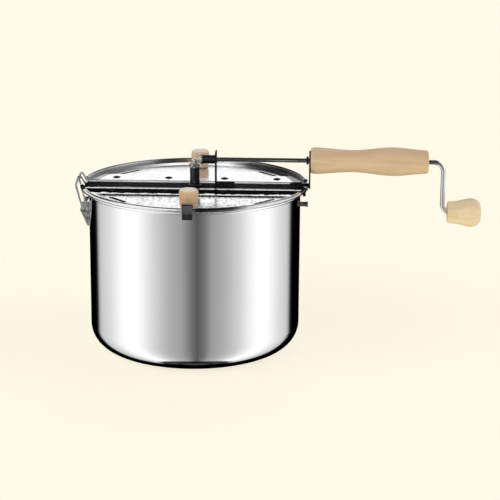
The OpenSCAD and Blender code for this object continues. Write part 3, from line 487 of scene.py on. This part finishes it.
# The painted highlight along the barrels, broken up by noise
bar_painted_highlight = sum_up(tree, "MULTIPLY", on_lines, spread(tree, highlight_break, *highlight_break_share))
dull = tint(tree, blotch, *bar_tones)
tree.links.new(mix(tree, bar_painted_highlight, dull, highlight_painted_tone), shader.inputs["Base Color"])
tree.links.new(mix(tree, bar_painted_highlight, bar_sheen, white), shader.inputs["Specular Tint"])
tree.links.new(spread(tree, grain, *bar_rough), shader.inputs["Roughness"])
relief(tree, shader, grain, bar_grain_depth)
dress(bar_finish, "crossbar", "front_hinge_leaves", "rear_hinge_leaves")


# The upright brackets are cut from the same dull sheet and bent, and riveted to the crossbar.
# The rivets have low round heads, blackened like the ones that hold the leaves under the lids.
dull_sheen = 0.14
plate_finish = metal(
    "bracket_dull_steel",
    tones=((0.035, 0.035, 0.037), (0.09, 0.09, 0.092)),
    blotch_size=0.009,
    rough=(0.26, 0.42),
    grain_size=0.0005,
    stretch=(1, 1, 30),
    grain_depth=0.000008,
    sheen=dull_sheen,
)
rivet_finish = metal(
    "rivet_black_steel",
    tones=((0.03, 0.03, 0.03), (0.10, 0.10, 0.10)),
    blotch_size=0.002,
    rough=(0.20, 0.36),
    grain_size=0.0006,
    grain_depth=0.00001,
    sheen=dull_sheen,
)
dress(plate_finish, "gear_bracket", "handle_plate")
dress(rivet_finish, "bracket_rivets", "front_leaf_rivets", "rear_leaf_rivets", "handle_screws")


# The spring clips are strips of hardened steel, bent over the lids' rolled edges and blued dark.
# Each is held by the screw that goes up through the lid into its knob.
clip_finish = metal(
    "clip_blued_steel",
    tones=((0.18, 0.18, 0.185), (0.34, 0.34, 0.345)),
    blotch_size=0.006,
    rough=(0.16, 0.30),
    grain_size=0.0005,
    stretch=(1, 40, 1),
    grain_depth=0.000006,
)
dress(clip_finish, "front_lid_clip", "rear_lid_clip", "front_knob_screw", "rear_knob_screw")


# The bush that carries the stirring shaft is turned from black nylon and pressed into the crossbar.
# Its flange lies flat on the bar, under the lower gear's hub.
nylon_tones = ((0.015, 0.015, 0.016), (0.035, 0.035, 0.038))
nylon_rough = (0.45, 0.6)
nylon_speck_size = 0.002
nylon_speck_depth = 0.00002

bush_finish, tree, place, shader = finish("black_nylon")
speck = noise(tree, place, nylon_speck_size)
tree.links.new(tint(tree, speck, *nylon_tones), shader.inputs["Base Color"])
tree.links.new(spread(tree, speck, *nylon_rough), shader.inputs["Roughness"])
relief(tree, shader, speck, nylon_speck_depth)
dress(bush_finish, "shaft_bush")


# The bevel gears are cast in zinc with their hubs; the teeth are painted pale as a painted highlight, and
# the hubs are dark.
# A steel pin through each hub locks it to its shaft.
hub_tones = ((0.025, 0.027, 0.027), (0.11, 0.115, 0.11))
# The teeth's pale tones are a painted highlight
teeth_painted_highlight_tones = ((0.42, 0.41, 0.37), (0.80, 0.79, 0.73))
zinc_rough = (0.26, 0.44)
cast_size = 0.0011
cast_depth = 0.00003
crank_teeth_x = 0.0086
stir_teeth_z = 0.1930
teeth_fade = 0.0008


def gear_zinc(name, axis, edge, toward):
    """Cast zinc, pale past the edge on the given axis, up it or down it, and dark on the hub."""
    material, tree, place, shader = finish(name)
    shader.inputs["Metallic"].default_value = 1.0
    cast = noise(tree, place, cast_size, (1, 1, 1), 4.0)
    along = put(tree, "ShaderNodeSeparateXYZ", {"Vector": place}).outputs[axis]
    on_teeth = put(
        tree,
        "ShaderNodeMapRange",
        {"Value": along, "From Min": edge, "From Max": edge + toward * teeth_fade},
    ).outputs[0]
    hub = tint(tree, spread(tree, cast, 0.0, 1.0), *hub_tones)
    # The teeth are painted pale: a painted highlight
    teeth = tint(tree, spread(tree, cast, 0.0, 1.0), *teeth_painted_highlight_tones)
    tree.links.new(mix(tree, on_teeth, hub, teeth), shader.inputs["Base Color"])
    tree.links.new(spread(tree, cast, *zinc_rough), shader.inputs["Roughness"])
    relief(tree, shader, cast, cast_depth)
    return material


dress(gear_zinc("crank_gear_zinc", "X", crank_teeth_x, -1), "crank_gear")
dress(gear_zinc("stir_gear_zinc", "Z", stir_teeth_z, 1), "stir_gear")


# The crank, the gears' pins and the hinge rods are of bright drawn steel rod, and so are the stirring
# shaft and the wire that sweeps the pan's floor. The latch's bail is bent from thinner, duller wire.
rod_finish = metal(
    "drawn_rod_steel",
    tones=((0.70, 0.70, 0.71), (0.84, 0.84, 0.845)),
    blotch_size=0.015,
    rough=(0.05, 0.12),
    grain_size=0.0007,
    grain_depth=0.000003,
)
dress(
    rod_finish,
    "crank_rod", "crank_gear_pin", "stir_gear_pin", "front_hinge_rod", "rear_hinge_rod",
    "stir_shaft", "stir_wire",
)
bail_finish = metal(
    "drawn_wire_steel",
    tones=((0.26, 0.26, 0.265), (0.62, 0.62, 0.625)),
    blotch_size=0.004,
    rough=(0.06, 0.16),
    grain_size=0.0007,
    grain_depth=0.000003,
)
dress(bail_finish, "latch_bail")


# Small turned steel parts: the black collar on the rod, the washer in the knob, the stirrer's collar.
# The collar grips the stirring shaft with a set screw.
collar_finish = metal(
    "collar_black_steel",
    tones=((0.02, 0.02, 0.02), (0.07, 0.07, 0.07)),
    blotch_size=0.003,
    rough=(0.25, 0.40),
    grain_size=0.0005,
    grain_depth=0.00001,
    sheen=dull_sheen,
)
turned_finish = metal(
    "turned_plain_steel",
    tones=((0.40, 0.40, 0.41), (0.56, 0.56, 0.57)),
    blotch_size=0.006,
    rough=(0.20, 0.34),
    grain_size=0.0004,
    grain_depth=0.000006,
)
dress(collar_finish, "rod_collar", "collar_screw")
dress(turned_finish, "knob_washer", "stir_collar")


# The handle and the three knobs are turned from pale beech and sanded, under a thin satin lacquer.
# Beech shows soft growth bands along the piece, and short dark flecks in the grain.
# The lid knobs' tops are end grain, painted paler than their sides as a painted highlight.
knob_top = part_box("front_lid_knob")[1].z
# Colour of the painted highlight on the lid knobs' tops, and the depths below the top over which it fades in
top_painted_highlight = (0.93, 0.86, 0.76)
top_highlight_rise = (0.0016, 0.0004)
band_size = 0.0045
band_run = 22
fibre_size = 0.00035
fibre_run = 40
fibre_depth = 0.00002
fleck_size = 0.0006
fleck_run = 6
fleck_depth = 0.00002
shade_size = 0.03
band_contrast = (0.32, 0.68)
warm_share = 0.30
fine_share = 0.25
fleck_share = 0.35
fleck_contrast = (0.64, 0.76)
beech_rough = (0.42, 0.56)
lacquer_share = 0.10
lacquer_rough = 0.35


def beech(name, along, dark, light, fleck_colour, top_highlight_share=0.0):
    """Beech whose grain runs along the given axis, "X" or "Z", and whose top is painted paler by the given
    share, a painted highlight.
    """
    material, tree, place, shader = finish(name)
    long_axis = (1, 0, 0) if along == "X" else (0, 0, 1)
    bands = noise(tree, place, band_size, tuple(1 + band_run * a for a in long_axis), 2.0)
    fibres = noise(tree, place, fibre_size, tuple(1 + fibre_run * a for a in long_axis), 4.0)
    flecks = noise(tree, place, fleck_size, tuple(1 + fleck_run * a for a in long_axis), 1.0)
    shade = noise(tree, place, shade_size, tuple(1 + 2 * a for a in long_axis), 2.0)
    body = tint(tree, spread(tree, bands, 0.0, 1.0, *band_contrast), dark, light)
    warm = mix(tree, spread(tree, shade, 0.0, warm_share), body, (*dark, 1.0))
    fine = mix(tree, spread(tree, fibres, 0.0, fine_share), warm, (*light, 1.0))
    flecked = spread(tree, flecks, 0.0, fleck_share, *fleck_contrast)
    marked = mix(tree, flecked, fine, (*fleck_colour, 1.0))
    height = put(tree, "ShaderNodeSeparateXYZ", {"Vector": place}).outputs["Z"]
    # The knob's top is painted paler: a painted highlight
    on_lit_top = spread(tree, height, 0.0, top_highlight_share, knob_top - top_highlight_rise[0], knob_top - top_highlight_rise[1])
    tree.links.new(mix(tree, on_lit_top, marked, (*top_painted_highlight, 1.0)), shader.inputs["Base Color"])
    tree.links.new(spread(tree, fibres, *beech_rough), shader.inputs["Roughness"])
    shader.inputs["Coat Weight"].default_value = lacquer_share
    shader.inputs["Coat Roughness"].default_value = lacquer_rough
    relief(tree, shader, flecks, fleck_depth, relief(tree, shader, fibres, fibre_depth))
    return material


handle_beech = beech("handle_beech", "X", (0.66, 0.46, 0.27), (0.78, 0.58, 0.37), (0.46, 0.29, 0.16))
knob_beech = beech("crank_knob_beech", "X", (0.80, 0.60, 0.36), (0.94, 0.76, 0.51), (0.56, 0.38, 0.21))
lid_knob_beech = beech(
    "lid_knob_beech", "Z", (0.68, 0.45, 0.26), (0.84, 0.61, 0.39), (0.45, 0.28, 0.14), top_highlight_share=0.85
)
dress(handle_beech, "handle_grip")
dress(knob_beech, "crank_knob")
dress(lid_knob_beech, "front_lid_knob", "rear_lid_knob")
